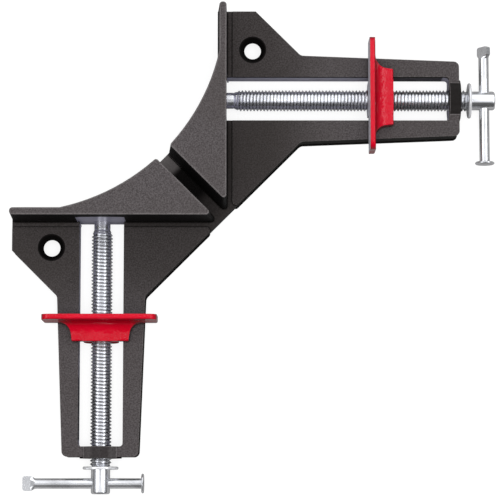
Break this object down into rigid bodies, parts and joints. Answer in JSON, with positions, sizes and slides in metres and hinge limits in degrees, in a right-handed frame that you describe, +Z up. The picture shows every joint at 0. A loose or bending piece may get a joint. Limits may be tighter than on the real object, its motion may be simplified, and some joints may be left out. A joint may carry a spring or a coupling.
{
  "type": "corner clamp",
  "caption": "Right-angle corner clamp: cast body with two upright fences and a mitre groove, and screw-driven jaws on slotted arms, turned by sliding bars.",
  "frame": {"origin": "the corner where the planes of the two clamping faces meet, on the bench plane", "axes": "+Z up, the right arm and its spindle along +X, the lower arm and its spindle along -Y"},
  "size_m": [0.1789, 0.1789, 0.032],
  "materials": {
    "powder_coat": "fine-textured black powder coat on die-cast aluminium, machined bare at the slots",
    "red_enamel": "gloss red enamel on die-cast aluminium, with a bare clamping face",
    "bright_zinc": "bright zinc plate",
    "spring_steel": "dark oiled"
  },
  "bodies": {
    "body": {"body_casting": "powder_coat", "right_spindle_pin": "spring_steel", "lower_spindle_pin": "spring_steel"},
    "right_screw": {"right_spindle": "bright_zinc", "right_collar_washer": "bright_zinc"},
    "right_handle": {"right_handle_bar": "bright_zinc"},
    "right_slider": {"right_jaw": "red_enamel"},
    "lower_screw": {"lower_spindle": "bright_zinc", "lower_collar_washer": "bright_zinc"},
    "lower_handle": {"lower_handle_bar": "bright_zinc"},
    "lower_slider": {"lower_jaw": "red_enamel"}
  },
  "joints": [
    {"name": "right_screw_turn", "type": "hinge", "parent": "body", "child": "right_screw", "pos_m": [0, 0.0461, 0.0068], "axis": [1, 0, 0], "range_deg": [-15033, 5990]},
    {"name": "right_jaw_slide", "type": "slide", "parent": "body", "child": "right_slider", "axis": [1, 0, 0], "range_m": [-0.0522, 0.0208]},
    {"name": "right_bar_slide", "type": "slide", "parent": "right_screw", "child": "right_handle", "axis": [0, 1, 0], "range_m": [-0.0121, 0.0194]},
    {"name": "lower_screw_turn", "type": "hinge", "parent": "body", "child": "lower_screw", "pos_m": [-0.0461, 0, 0.0068], "axis": [0, -1, 0], "range_deg": [-10079, 10943]},
    {"name": "lower_jaw_slide", "type": "slide", "parent": "body", "child": "lower_slider", "axis": [0, -1, 0], "range_m": [-0.035, 0.038]},
    {"name": "lower_bar_slide", "type": "slide", "parent": "lower_screw", "child": "lower_handle", "axis": [-1, 0, 0], "range_m": [-0.0202, 0.0113]}
  ],
  "couplings": [
    {"joint": "right_jaw_slide", "follows": "right_screw_turn", "m_per_rad": 0.00019894},
    {"joint": "lower_jaw_slide", "follows": "lower_screw_turn", "m_per_rad": 0.00019894}
  ]
}
